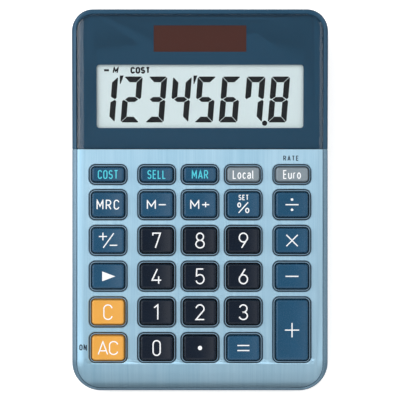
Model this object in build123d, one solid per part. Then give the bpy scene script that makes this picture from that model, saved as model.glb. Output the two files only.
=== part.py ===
"""Desk calculator: a wedge-shaped two-tone case with a brushed metal keypad plate, sprung keys and a
solar-assisted display.

Millimetres. The row frame stands the calculator on its rubber feet: +Z up, +X to the user's right, +Y
away from the user, origin on the desk under the middle of the case. Most parts are drawn on one of two
tilted planes. key_plane lies on the metal plate and display_plane on the window: in both, the local x
is +X, the local y climbs towards the rear and the local z leaves the surface.
"""

import os
from math import acos, cos, degrees, radians, sin, sqrt

from build123d import *

# Case
case_width = 102.0
case_length = 151.0
front_corner_radius = 11.2
rear_corner_radius = 8.5
wall = 2.0
floor_bottom = 1.0  # the underside stands this far above the desk
floor_thickness = 2.0
parting_height = 8.4  # the joint between upper and lower shells, over the origin
parting_slope = 2.8
parting_gap = 0.1
lower_inset = 0.5  # the lower case is a little smaller all round
lower_edge_radius = 3.0
tongue_height = 1.0  # the lower case's rim stands up inside the upper shells
tongue_thickness = 1.0
tongue_gap = 0.15
reach = 400.0  # longer than anything in the model, for cutting blocks

# Top surfaces
key_plane_height = 20.0
key_slope = 4.5
display_slope = 8.0
crease = 20.5  # where the keypad surface meets the display surface, along key_plane
crown_radius = 8.5  # both surfaces roll over towards the sides on this radius
crown_start = 46.0  # half the width of the flat middle
lip_radius = 15.5  # the keypad surface bends down to the front edge on this radius
lip_start = -63.0
key_section_depth = 13.0  # the two top blocks reach this far down
display_section_depth = 22.0
rim_radius = 0.8
housing_gap = 0.08  # half the line between the two upper housings

# Metal plate
plate_thickness = 0.5
plate_inset = 2.1
plate_front_inset = 1.2
pocket_gap = 0.3  # all round the plate and the window
plate_crease_gap = 0.15
hole_chamfer = 0.25

# Display window
window_thickness = 1.6
window_crease_gap = 0.15
mask_thickness = 0.15
mask_gap = 0.05
lcd_view = (82.4, 25.15)
lcd_view_y = 20.9
solar_view = (36.9, 10.5)
solar_view_y = 43.9
view_corner_radius = 1.1

# Liquid crystal cell
glass_thickness = 0.8
lcd_glass = (86.0, 27.9)
lcd_ledge = 3.3  # the front glass stands out this far towards the user, for the contacts
lcd_top = -2.0
reflector_thickness = 0.2
lcd_clearance = 0.3
holder_thickness = 1.2
holder_gap = 0.05
stake_radius = 0.9
stake_head = 1.4
stake_places = ((-46.0, 10.0), (46.0, 10.0), (-46.0, 33.0), (46.0, 33.0))
ribbon_width = 70.0
ribbon_thickness = 0.12

# Solar cell
solar_glass = (40.0, 13.2)
solar_thickness = 1.1

# Key grid, along key_plane
column_x = (-36.6, -17.25, 0.0, 17.25, 36.6)
row_y = (10.3, -1.7, -15.95, -30.2, -44.45, -58.7)
key_hole = (15.3, 12.2)  # opening in the metal plate
function_hole_height = 8.1
hole_radius = 2.5
collar_gap = 0.35  # plate to collar
collar_width = 0.3
collar_top = -0.2
deck_thickness = 1.5

# Keys
key_rise = 2.2
key_gap = 0.5  # collar to key, at the key's widest
key_draft = 8.0
key_edge_radius = 0.6
dish_radius = 55.0
key_shell = 1.0
flange_width = 0.9
flange_top = -2.1
flange_bottom = -3.0
plunger_radius = 1.6
plunger_end = -3.6

# Rubber mat and board
board_top = -5.9
board_thickness = 1.2
board_half_width = 44.0
board_rear = 17.3
board_front = -64.4
board_hole_gap = 0.15
mat_thickness = 0.7
mat_margin = 0.5
dome_top = -3.65
dome_top_radius = 2.0
dome_base_radius = 4.0
dome_wall = 0.6
pad_radius = 1.6
pad_thickness = 0.1

# Fasteners
board_boss_x = 26.93
board_boss_y = (9.0, -14.0, -37.0, -60.0)
board_boss_radius = 1.7
board_screw = {"shank": 0.8, "length": 4.3, "head": 1.7, "head_height": 1.1}
case_boss_x = 46.5
case_boss_y = (-56.0, 12.0, 62.0)
case_boss_radius = 2.2
case_screw = {"shank": 0.95, "length": 6.5, "head": 1.8, "head_height": 1.3}
cover_screw = {"shank": 0.95, "length": 4.8, "head": 1.8, "head_height": 0.9}
screw_clearance = 0.08
head_clearance = 0.15
case_web = 1.4  # plastic under a case screw's head
cross_slot = (2.2, 0.45, 0.6)  # length, width and depth of a screw head's cross

# Button cell and its cover
cell_place = (22.0, 47.0)
cell_radius = 5.8
cell_height = 5.4
cell_bottom = 3.0
pocket_radius = 6.25
pocket_wall = 1.4
pocket_ceiling = 9.0
pad_top = 4.2  # the floor is raised to this height round the cover
cover_size = (16.6, 27.0)
cover_centre = (22.0, 50.5)
cover_corner_radius = 2.0
cover_thickness = 1.6
cover_gap = 0.12
cover_screw_place = (22.0, 60.0)
cover_boss_radius = 2.6
cover_boss_top = 9.5
cover_web = 0.6  # plastic under the cover screw's head
contact_thickness = 0.3
contact_width = 4.0
contact_touch = 0.05

# Feet
foot_radius = 4.6
foot_height = 1.8
foot_gap = 0.1
foot_places = ((-38.0, -62.0), (38.0, -62.0), (-38.0, 62.0), (38.0, 62.0))

# Wires
wire_radius = 0.5
wire_bend = 1.6

key_plane = Plane(
    origin=(0, 0, key_plane_height),
    x_dir=(1, 0, 0),
    z_dir=(0, -sin(radians(key_slope)), cos(radians(key_slope))),
)
display_plane = Plane(
    origin=key_plane.from_local_coords(Vector(0, crease, 0)),
    x_dir=(1, 0, 0),
    z_dir=(0, -sin(radians(display_slope)), cos(radians(display_slope))),
)
parting_plane = Plane(
    origin=(0, 0, parting_height),
    x_dir=(1, 0, 0),
    z_dir=(0, -sin(radians(parting_slope)), cos(radians(parting_slope))),
)


def slab(plane, sketch, low, high):
    """The sketch on this plane, solid between two heights above it."""
    return extrude(plane.offset(low) * sketch, amount=high - low)


def above(plane, height=0.0):
    """Everything above a plane."""
    return slab(plane, Rectangle(reach, reach), height, height + reach)


def below(plane, height=0.0):
    """Everything below a plane."""
    return slab(plane, Rectangle(reach, reach), height - reach, height)


def in_front_of_crease(gap):
    """Everything on the user's side of the crease, square to the keypad surface."""
    return slab(key_plane, Pos(0, crease - gap - reach / 2) * Rectangle(reach, reach), -reach, reach)


def behind_crease(gap):
    """Everything on the far side of the crease, square to the keypad surface."""
    return slab(key_plane, Pos(0, crease + gap + reach / 2) * Rectangle(reach, reach), -reach, reach)


def plan(inset, front_inset=None):
    """The case seen from above, drawn in by an inset, with its own inset at the front."""
    front_inset = inset if front_inset is None else front_inset
    length = case_length - inset - front_inset
    outline = Pos(0, (front_inset - inset) / 2) * Rectangle(case_width - 2 * inset, length)
    corners = outline.vertices().sort_by(Axis.Y)
    front = fillet(corners[:2], front_corner_radius - inset)
    rear_corners = front.vertices().sort_by(Axis.Y)[-2:]
    return fillet(rear_corners, rear_corner_radius - inset)


def prism(inset, front_inset=None):
    """The plan outline carried straight up and down."""
    return slab(Plane.XY, plan(inset, front_inset), -reach / 2, reach / 2)


def crown_section(inset, depth):
    """Cross-section of the case's top, seen from the front: flat in the middle, rolling over at both sides,
    with its top drawn down by an inset."""
    side = case_width / 2
    radius = crown_radius - inset
    start = degrees(acos((side - crown_start) / radius))
    side_z = radius * sin(radians(start)) - crown_radius
    edges = [
        Line((-side, -depth), (side, -depth)),
        Line((side, -depth), (side, side_z)),
        CenterArc((crown_start, -crown_radius), radius, start, 90 - start),
        Line((crown_start, -inset), (-crown_start, -inset)),
        CenterArc((-crown_start, -crown_radius), radius, 90, 90 - start),
        Line((-side, side_z), (-side, -depth)),
    ]
    return make_face(edges)


def section_plane(plane, along):
    """A plane across the case, square to one of the two top planes, whose local y leaves the surface."""
    origin = plane.from_local_coords(Vector(0, along, 0))
    return Plane(origin=origin, x_dir=(1, 0, 0), z_dir=-plane.y_dir)


def key_block(inset):
    """Solid block under the crowned keypad surface, with the bent front lip, its top drawn down by an
    inset."""
    section = crown_section(inset, key_section_depth)
    straight = extrude(section_plane(key_plane, crease + 5) * section, amount=crease + 5 - lip_start)
    lip_centre = key_plane.from_local_coords(Vector(0, lip_start, -lip_radius))
    lip_section = section_plane(key_plane, lip_start) * section
    lip = revolve(lip_section, axis=Axis(lip_centre, (1, 0, 0)), revolution_arc=90)
    return straight + lip


def display_block(inset):
    """Solid block under the crowned display surface, its top drawn down by an inset."""
    section = crown_section(inset, display_section_depth)
    return extrude(section_plane(display_plane, 60) * section, amount=70)


def soften_rim(housing, radius):
    """Rounds the edges where the case's upright walls meet its top."""
    outline = plan(0).wire()
    rim = []
    for edge in housing.edges():
        spots = [edge @ 0.1, edge @ 0.5, edge @ 0.9]
        on_wall = all(outline.distance_to(Vector(spot.X, spot.Y, 0)) < 0.01 for spot in spots)
        middle = edge.center()
        if on_wall and middle.Z > parting_z(middle.Y) + 1.4 and abs((edge % 0.5).Z) < 0.9:
            rim.append(edge)
    return fillet(rim, radius)


def key_positions():
    """Every key's name, place on key_plane and size of its opening, row by row from the display."""
    names = (
        ("cost", "sell", "margin", "local", "euro"),
        ("memory_recall", "memory_minus", "memory_plus", "percent", "divide"),
        ("sign", "7", "8", "9", "multiply"),
        ("step_back", "4", "5", "6", "minus"),
        ("clear", "1", "2", "3"),
        ("all_clear", "0", "point", "equals"),
    )
    places = []
    for row, row_names in enumerate(names):
        height = function_hole_height if row == 0 else key_hole[1]
        for column, name in enumerate(row_names):
            places.append(("key_" + name, column_x[column], row_y[row], key_hole[0], height))
    tall_height = row_y[4] - row_y[5] + key_hole[1]
    places.append(("key_plus", column_x[4], (row_y[4] + row_y[5]) / 2, key_hole[0], tall_height))
    return places


def rounded(width, height, radius, shrink=0.0):
    """A rounded rectangle drawn in by the same amount all round."""
    return RectangleRounded(width - 2 * shrink, height - 2 * shrink, radius - shrink)


def make_key(width, height):
    """One moulded key, hollow from below, with a dished top, a flange that stops it under the deck and a
    plunger over its rubber dome. Its local z is 0 at the top of the metal plate."""
    shrink = collar_gap + collar_width + key_gap
    outline = rounded(width, height, hole_radius, shrink)
    half_width = width / 2 - shrink
    sag = dish_radius - sqrt(dish_radius**2 - half_width**2)
    key = extrude(outline, amount=key_rise, taper=key_draft)
    dish_centre = (0, 0, key_rise - sag + dish_radius)
    key -= Pos(dish_centre) * Rot(90, 0, 0) * Cylinder(dish_radius, 2 * height)
    key = fillet(key.faces().sort_by(Axis.Z)[-1].edges(), key_edge_radius)
    key += extrude(outline, amount=flange_bottom)
    flange = rounded(width, height, hole_radius, shrink - flange_width)
    key += extrude(Pos(0, 0, flange_bottom) * flange, amount=flange_top - flange_bottom)
    hollow_top = key_rise - sag - key_shell
    hollow = rounded(width, height, hole_radius, shrink + key_shell)
    key -= extrude(Pos(0, 0, flange_bottom) * hollow, amount=hollow_top - flange_bottom)
    plunger = extrude(Pos(0, 0, plunger_end) * Circle(plunger_radius), amount=hollow_top - plunger_end)
    return key + plunger


def make_screw(spec):
    """A cross-head screw whose shank points along +Z from the seat of its head."""
    shank = extrude(Circle(spec["shank"]), amount=spec["length"])
    shank = chamfer(shank.edges().sort_by(Axis.Z)[-1], 0.4)
    head = extrude(Circle(spec["head"]), amount=-spec["head_height"])
    head = fillet(head.edges().sort_by(Axis.Z)[0], 0.25)
    slot_length, slot_width, slot_depth = cross_slot
    cross = Rectangle(slot_length, slot_width) + Rectangle(slot_width, slot_length)
    slot = extrude(Pos(0, 0, -spec["head_height"]) * cross, amount=slot_depth)
    return shank + head - slot


def make_wire(points):
    """A round wire along straight runs, with its bends rounded."""
    path = FilletPolyline(*points, radius=wire_bend)
    section = Plane(origin=path @ 0, z_dir=path % 0) * Circle(wire_radius)
    return sweep(section, path=path)


def boss_places():
    """Where the case screws stand, seen from above."""
    return [(side * case_boss_x, y) for y in case_boss_y for side in (-1, 1)]


def board_boss_places():
    """Where the board screws stand, on key_plane."""
    return [(side * board_boss_x, y) for y in board_boss_y for side in (-1, 1)]


def parting_z(y):
    """Height of the parting plane at this y."""
    return parting_height + y * sin(radians(parting_slope)) / cos(radians(parting_slope))


def post(x, y, radius, low, high):
    """An upright round bar."""
    return Pos(x, y, (low + high) / 2) * Cylinder(radius, high - low)


def make_keypad_housing():
    """Front upper shell: side and front walls, the deck under the metal plate with a collar round every
    key, and the posts for the board and case screws."""
    outer = key_block(0) & prism(0) & in_front_of_crease(housing_gap)
    outer = soften_rim(outer, rim_radius)
    inner = key_block(plate_thickness + deck_thickness) & prism(wall)
    pocket_block = prism(plate_inset - pocket_gap, plate_front_inset - pocket_gap)
    pocket = (pocket_block - key_block(plate_thickness)) & above(key_plane, -key_section_depth)
    posts = [post(x, y, case_boss_radius, 0, 25) for x, y in boss_places()[:4]]
    columns = slab(
        key_plane,
        Sketch() + [Pos(x, y) * Circle(board_boss_radius) for x, y in board_boss_places()],
        board_top,
        -plate_thickness - deck_thickness / 2,
    )
    filling = [solid & key_block(plate_thickness + deck_thickness / 2) for solid in posts]
    housing = outer - inner - pocket + filling + columns
    collars = [
        Pos(x, y) * rounded(width, height, hole_radius, collar_gap)
        for name, x, y, width, height in key_positions()
    ]
    openings = [
        Pos(x, y) * rounded(width, height, hole_radius, collar_gap + collar_width)
        for name, x, y, width, height in key_positions()
    ]
    housing += slab(key_plane, Sketch() + collars, -plate_thickness - 0.1, collar_top)
    housing -= slab(key_plane, Sketch() + openings, -plate_thickness - deck_thickness - 0.5, 1)
    pilots = [
        Pos(x, y) * Circle(board_screw["shank"] + screw_clearance) for x, y in board_boss_places()
    ]
    pilot_top = board_top - board_thickness + board_screw["length"] + 0.1
    housing -= slab(key_plane, Sketch() + pilots, board_top - 1, pilot_top)
    housing &= above(parting_plane, parting_gap)
    for x, y in boss_places()[:4]:
        seat = parting_z(y) - parting_gap - case_web
        top = seat + case_screw["length"] + 0.2
        housing -= post(x, y, case_screw["shank"] + screw_clearance, 0, top)
    return housing


def make_display_housing():
    """Rear upper shell: walls, the deck under the window with its two openings, the stakes that hold the
    display, and two posts for case screws."""
    deck_top = window_thickness + mask_thickness + mask_gap
    outer = display_block(0) & prism(0) & behind_crease(housing_gap)
    outer = soften_rim(outer, rim_radius)
    inner = display_block(deck_top + deck_thickness) & prism(wall)
    pocket = (prism(plate_inset - pocket_gap) - display_block(deck_top)) & above(display_plane, -8)
    posts = [post(x, y, case_boss_radius, 0, 35) for x, y in boss_places()[4:]]
    filling = [solid & display_block(deck_top + deck_thickness / 2) for solid in posts]
    housing = outer - inner - pocket + filling
    deck_bottom = -deck_top - deck_thickness
    holder_bottom = lcd_bottom() - reflector_thickness - holder_gap - holder_thickness
    for x, y in stake_places:
        stake = slab(display_plane, Pos(x, y) * Circle(stake_radius), holder_bottom, deck_bottom + 1)
        head_top = holder_bottom - holder_gap
        head = slab(display_plane, Pos(x, y) * Circle(stake_head), head_top - 0.5, head_top)
        neck = slab(display_plane, Pos(x, y) * Circle(stake_radius), head_top - 0.1, holder_bottom)
        housing += stake + neck + head
    glass = lcd_front_outline(lcd_clearance)
    solar = Pos(0, solar_view_y) * Rectangle(
        solar_glass[0] + 2 * lcd_clearance, solar_glass[1] + 2 * lcd_clearance
    )
    housing -= slab(display_plane, glass + solar, deck_bottom - 0.5, 1)
    housing &= above(parting_plane, parting_gap)
    for x, y in boss_places()[4:]:
        seat = parting_z(y) - parting_gap - case_web
        top = seat + case_screw["length"] + 0.2
        housing -= post(x, y, case_screw["shank"] + screw_clearance, 0, top)
    return housing


def lcd_bottom():
    """Height of the rear glass's back, on display_plane."""
    return lcd_top - 2 * glass_thickness


def lcd_front_outline(gap=0.0):
    """Outline of the front glass, with the contact ledge towards the user."""
    width, height = lcd_glass
    outline = Rectangle(width + 2 * gap, height + lcd_ledge + 2 * gap)
    return Pos(0, lcd_view_y - lcd_ledge / 2) * outline


def lcd_rear_outline():
    """Outline of the rear glass and the reflector."""
    return Pos(0, lcd_view_y) * Rectangle(*lcd_glass)


def make_face_plate():
    """Brushed metal sheet over the keypad, bent down at the front and rolled at the sides."""
    sheet = key_block(0) - key_block(plate_thickness)
    sheet &= prism(plate_inset, plate_front_inset) & in_front_of_crease(plate_crease_gap)
    sheet &= above(key_plane, -key_section_depth)
    holes = [
        Pos(x, y) * RectangleRounded(width, height, hole_radius)
        for name, x, y, width, height in key_positions()
    ]
    sheet -= slab(key_plane, Sketch() + holes, -1, 1)
    for hole in holes:
        flare = key_plane.offset(-hole_chamfer) * hole
        sheet -= extrude(flare, amount=hole_chamfer + 0.05, taper=-45)
    return sheet


def make_window():
    """Clear window over the whole display end, rolled at the sides like the metal plate."""
    sheet = display_block(0) - display_block(window_thickness)
    return sheet & prism(plate_inset) & behind_crease(window_crease_gap) & above(display_plane, -6)


def make_mask():
    """Dark print behind the window, clear over the display and the solar cell."""
    sheet = display_block(window_thickness) - display_block(window_thickness + mask_thickness)
    sheet &= prism(plate_inset) & behind_crease(window_crease_gap) & above(display_plane, -6)
    lcd_hole = Pos(0, lcd_view_y) * RectangleRounded(*lcd_view, view_corner_radius)
    solar_hole = Pos(0, solar_view_y) * Rectangle(*solar_view)
    return sheet - slab(display_plane, lcd_hole + solar_hole, -4, 1)


def make_holder():
    """Frame behind the display, hung on the housing's stakes."""
    top = lcd_bottom() - reflector_thickness - holder_gap
    outline = Pos(0, 21.6) * Rectangle(95, 29.4)
    lightening = Pos(0, 21.6) * RectangleRounded(70, 16, 2)
    holes = [Pos(x, y) * Circle(stake_radius + 0.1) for x, y in stake_places]
    return slab(display_plane, outline - lightening - holes, top - holder_thickness, top)


def make_ribbon():
    """Flexible ribbon from the contact ledge down to the rear edge of the board."""
    across = Plane(origin=key_plane.origin, x_dir=key_plane.y_dir, z_dir=(1, 0, 0))
    ledge_front = lcd_view_y - lcd_glass[1] / 2 - lcd_ledge
    under_ledge = lcd_top - glass_thickness - ribbon_thickness / 2 - 0.01
    corners = []
    for y, z in ((ledge_front + 2.6, under_ledge), (ledge_front + 0.6, under_ledge)):
        spot = key_plane.to_local_coords(display_plane.from_local_coords(Vector(0, y, z)))
        corners.append((spot.Y, spot.Z))
    on_board = board_top + ribbon_thickness / 2 + 0.01
    corners += [(corners[1][0] - 0.3, -4.2), (18.8, on_board + 0.2), (16.6, on_board), (14.2, on_board)]
    path = FilletPolyline(*corners, radius=0.35)
    section = trace(path, line_width=ribbon_thickness)
    return extrude(across * section, amount=ribbon_width / 2, both=True)


def make_mat():
    """Silicone sheet on the board with a collapsible dome under every key."""
    length = board_rear - board_front - 2 * mat_margin
    outline = Rectangle(2 * (board_half_width - mat_margin), length)
    outline = Pos(0, (board_rear + board_front) / 2) * outline
    ribbon_notch = Pos(0, board_rear - 2.5) * Rectangle(ribbon_width + 1, 6)
    boss_holes = [Pos(x, y) * Circle(board_boss_radius + 0.3) for x, y in board_boss_places()]
    sheet_top = board_top + mat_thickness
    mat = slab(key_plane, outline - ribbon_notch - boss_holes, board_top, sheet_top)
    dome_height = dome_top - sheet_top + 0.1
    hollow_height = dome_top - dome_wall - board_top
    for name, x, y, width, height in key_positions():
        dome = Pos(x, y, sheet_top - 0.1 + dome_height / 2)
        mat += key_plane * dome * Cone(dome_base_radius, dome_top_radius, dome_height)
    for name, x, y, width, height in key_positions():
        hollow = Pos(x, y, board_top + hollow_height / 2)
        cone = Cone(dome_base_radius - dome_wall, dome_top_radius - dome_wall / 2, hollow_height)
        mat -= key_plane * hollow * cone
    return mat


def make_board():
    """Printed circuit board, with holes for its screws."""
    outline = Rectangle(2 * board_half_width, board_rear - board_front)
    outline = Pos(0, (board_rear + board_front) / 2) * outline
    outline -= [
        Pos(x, y) * Circle(board_screw["shank"] + board_hole_gap) for x, y in board_boss_places()
    ]
    return slab(key_plane, outline, board_top - board_thickness, board_top)


def make_contact_pads():
    """Carbon contacts printed on the board under every dome."""
    pads = [Pos(x, y) * Circle(pad_radius) for name, x, y, width, height in key_positions()]
    return slab(key_plane, Sketch() + pads, board_top, board_top + pad_thickness)


def make_chip_cover():
    """Drop of black resin over the chip, on the board's back."""
    back = board_top - board_thickness
    drop = Pos(0, -8.0, back) * Sphere(9.0)
    return key_plane * Pos(0, 0, 7.4) * drop & below(key_plane, back)


def make_board_components():
    """Small parts soldered to the board's back: an upright can, a crystal case and chip parts."""
    back = board_top - board_thickness
    parts = [slab(key_plane, Pos(-14, 8) * Circle(2.5), back - 3.6, back)]
    parts.append(slab(key_plane, Pos(12, 8) * RectangleRounded(8, 3.2, 1.5), back - 2.4, back))
    for x, y in ((-22, -6), (-22, -10), (-18, -14), (10, -18), (14, -18), (18, -14), (20, -4), (20, 0)):
        parts.append(slab(key_plane, Pos(x, y) * Rectangle(2.0, 1.25), back - 0.6, back))
    return Compound(children=parts)


def make_lower_case():
    """Tray that closes the case from below, with the screw posts, the feet's recesses and the button
    cell's compartment."""
    block = slab(Plane.XY, plan(lower_inset), floor_bottom, 25)
    block = fillet(block.edges().group_by(Axis.Z)[0], lower_edge_radius)
    floor_top = floor_bottom + floor_thickness
    tray = block - slab(Plane.XY, plan(lower_inset + wall), floor_top, 30)
    tray &= below(parting_plane, -parting_gap)
    tongue_inset = wall + tongue_gap
    tongue_plan = plan(tongue_inset) - plan(tongue_inset + tongue_thickness)
    tongue = slab(Plane.XY, tongue_plan, floor_top, 25) & below(parting_plane, tongue_height)
    for x, y in boss_places():
        tongue -= post(x, y, case_boss_radius + 0.3, 0, 30)
    tray += tongue
    for x, y in boss_places():
        tray += post(x, y, case_boss_radius, floor_bottom + 1, 25) & below(parting_plane, -parting_gap)
    for x, y in boss_places():
        seat = parting_z(y) - parting_gap - case_web
        tray -= post(x, y, case_screw["head"] + head_clearance, 0, seat)
        tray -= post(x, y, case_screw["shank"] + screw_clearance, 0, 25)
    for x, y in foot_places:
        tray -= post(x, y, foot_radius + foot_gap, 0, foot_height)
    return tray + make_compartment() - make_compartment_hollows()


def make_compartment():
    """Raised floor round the cover, the button cell's pocket and the cover screw's post."""
    width, length = cover_size
    pad = Pos(*cover_centre) * RectangleRounded(width + 4, length + 4, cover_corner_radius + 2)
    compartment = slab(Plane.XY, pad, floor_bottom + 1, pad_top)
    compartment += post(*cell_place, pocket_radius + pocket_wall, 3, pocket_ceiling + pocket_wall)
    return compartment + post(*cover_screw_place, cover_boss_radius, 3, cover_boss_top)


def make_compartment_hollows():
    """Everything cut away for the cover, the cell, its contacts and the cover screw."""
    cover_top = floor_bottom + cover_thickness
    opening = cover_outline(cover_gap)
    hollows = slab(Plane.XY, opening, 0, cover_top + 0.05)
    hollows += post(*cell_place, pocket_radius, 0, pocket_ceiling)
    x, y = cell_place
    slot_width = contact_width + 0.4
    exit_y = y + pocket_radius + pocket_wall / 2
    exit_height = cell_height + cell_bottom
    exit_middle = (exit_height - 0.1 + pocket_ceiling) / 2
    exit_slot = Box(slot_width, pocket_wall + 3, pocket_ceiling - exit_height + 0.1)
    hollows += Pos(x, exit_y, exit_middle) * exit_slot
    side_y = y - cell_radius - contact_touch - contact_thickness / 2
    side_slot = Box(slot_width, contact_thickness + 0.3, 12)
    hollows += Pos(x, side_y, 3.2 + 6) * side_slot
    pilot_top = floor_bottom + cover_screw["head_height"] + cover_screw["length"] + 0.4
    shank = cover_screw["shank"] + screw_clearance
    return hollows + post(*cover_screw_place, shank, 0, pilot_top)


def cover_outline(gap=0.0):
    """Outline of the battery cover."""
    width, length = cover_size
    outline = RectangleRounded(width + 2 * gap, length + 2 * gap, cover_corner_radius + gap)
    return Pos(*cover_centre) * outline


def make_battery_cover():
    """Flat door in the underside, held by one screw, with finger ridges by its front edge."""
    cover_top = floor_bottom + cover_thickness
    cover = slab(Plane.XY, cover_outline(), floor_bottom, cover_top)
    seat = cover_top - cover_web
    cover -= post(*cover_screw_place, cover_screw["head"] + head_clearance, 0, seat)
    cover -= post(*cover_screw_place, cover_screw["shank"] + screw_clearance, 0, cover_top)
    for step in range(4):
        ridge_y = cover_centre[1] - cover_size[1] / 2 + 3 + 1.2 * step
        cover -= Pos(cover_centre[0], ridge_y, floor_bottom) * Box(9, 0.5, 0.5)
    return cover


def make_cell():
    """Button cell: a can with a smaller raised cap on its upper side."""
    low = cell_bottom
    can = post(*cell_place, cell_radius, low, low + cell_height - 0.5)
    can = fillet(can.edges().sort_by(Axis.Z)[0], 0.3)
    return can + post(*cell_place, cell_radius - 1.2, low + 1, low + cell_height)


def make_cell_contacts():
    """The two spring strips of the cell's compartment: one over the cap and one beside the can."""
    x, y = cell_place
    low = cell_bottom + cell_height + contact_touch
    exit_y = y + pocket_radius + pocket_wall + 0.4
    top_strip = Pos(x, (y - 2 + exit_y) / 2, low + contact_thickness / 2)
    top_contact = top_strip * Box(contact_width, exit_y - y + 2, contact_thickness)
    tab = Pos(x, exit_y, low + 1.5) * Box(contact_width, contact_thickness, 3.0)
    side_y = y - cell_radius - contact_touch - contact_thickness / 2
    side_contact = Pos(x, side_y, 8) * Box(contact_width, contact_thickness, 8)
    return top_contact + tab, side_contact


def make_feet():
    """Four round rubber feet pressed into the underside."""
    feet = []
    for x, y in foot_places:
        foot = post(x, y, foot_radius, 0, foot_height)
        feet.append(fillet(foot.edges().sort_by(Axis.Z)[0], 0.3))
    return Compound(children=feet)


def make_case_screws():
    """Six screws that hold the two upper housings on the lower case."""
    screws = []
    for x, y in boss_places():
        seat = parting_z(y) - parting_gap - case_web
        screws.append(Pos(x, y, seat) * make_screw(case_screw))
    return Compound(children=screws)


def make_board_screws():
    """Eight screws that hold the board against the posts of the keypad housing."""
    seat = board_top - board_thickness
    screws = [key_plane * Pos(x, y, seat) * make_screw(board_screw) for x, y in board_boss_places()]
    return Compound(children=screws)


def make_battery_leads():
    """Two wires from the cell's contacts to the board."""
    x, y = cell_place
    back = board_top - board_thickness - wire_radius - 0.05
    side_y = y - cell_radius - contact_touch - contact_thickness - wire_radius - 0.05
    front_lead = make_wire(
        [
            Vector(x, side_y, 11.0),
            Vector(x, side_y - 5, 12.0),
            key_plane.from_local_coords(Vector(x, 20, back - 1.0)),
            key_plane.from_local_coords(Vector(x, 13, back)),
        ]
    )
    exit_y = y + pocket_radius + pocket_wall + 0.4 + contact_thickness / 2 + wire_radius + 0.05
    rear_lead = make_wire(
        [
            Vector(x, exit_y, 10.6),
            Vector(x - 3.5, exit_y + 0.4, 12.6),
            Vector(x - 9, y, 12.0),
            Vector(x - 8, y - 14, 12.0),
            key_plane.from_local_coords(Vector(x - 6, 20, back - 1.0)),
            key_plane.from_local_coords(Vector(x - 5, 13, back)),
        ]
    )
    return Compound(children=[front_lead, rear_lead])


def make_solar_leads():
    """Two wires from the back of the solar cell to the board."""
    cell_back = solar_top() - solar_thickness
    back = board_top - board_thickness - wire_radius - 0.05
    leads = []
    for side in (-1, 1):
        leads.append(
            make_wire(
                [
                    display_plane.from_local_coords(Vector(side * 6, 45, cell_back - wire_radius - 0.15)),
                    display_plane.from_local_coords(Vector(side * 6, 41, cell_back - wire_radius - 0.8)),
                    display_plane.from_local_coords(Vector(side * 6, 35, -8.0)),
                    display_plane.from_local_coords(Vector(side * 6, 8, -8.0)),
                    key_plane.from_local_coords(Vector(side * 6, 17, back - 1.2)),
                    key_plane.from_local_coords(Vector(side * 6, 12, back)),
                ]
            )
        )
    return Compound(children=leads)


def solar_top():
    """Height of the solar cell's face, on display_plane."""
    return -window_thickness - mask_thickness - mask_gap


def make_all():
    """Every node by name."""
    lcd_middle = lcd_top - glass_thickness
    solar_outline = Pos(0, solar_view_y) * Rectangle(*solar_glass)
    cell_top_contact, cell_side_contact = make_cell_contacts()
    cover_seat = floor_bottom + cover_thickness - cover_web
    nodes = {
        "keypad_housing": make_keypad_housing(),
        "display_housing": make_display_housing(),
        "face_plate": make_face_plate(),
        "display_window": make_window(),
        "window_mask": make_mask(),
        "lcd_front_glass": slab(display_plane, lcd_front_outline(), lcd_middle, lcd_top),
        "lcd_rear_glass": slab(display_plane, lcd_rear_outline(), lcd_bottom(), lcd_middle),
        "lcd_reflector": slab(
            display_plane, lcd_rear_outline(), lcd_bottom() - reflector_thickness, lcd_bottom()
        ),
        "lcd_holder": make_holder(),
        "lcd_ribbon": make_ribbon(),
        "solar_cell": slab(display_plane, solar_outline, solar_top() - solar_thickness, solar_top()),
        "solar_leads": make_solar_leads(),
        "key_mat": make_mat(),
        "contact_pads": make_contact_pads(),
        "main_board": make_board(),
        "chip_cover": make_chip_cover(),
        "board_components": make_board_components(),
        "board_screws": make_board_screws(),
        "lower_case": make_lower_case(),
        "case_screws": make_case_screws(),
        "battery_cover": make_battery_cover(),
        "battery_cover_screw": Pos(*cover_screw_place, cover_seat) * make_screw(cover_screw),
        "button_cell": make_cell(),
        "cell_top_contact": cell_top_contact,
        "cell_side_contact": cell_side_contact,
        "battery_leads": make_battery_leads(),
        "rubber_feet": make_feet(),
    }
    for name, x, y, width, height in key_positions():
        nodes[name] = key_plane * Pos(x, y) * make_key(width, height)
    return nodes


os.makedirs("parts", exist_ok=True)
for node_name, shape in make_all().items():
    export_step(shape, os.path.join("parts", node_name + ".step"))
    print(node_name)
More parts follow.
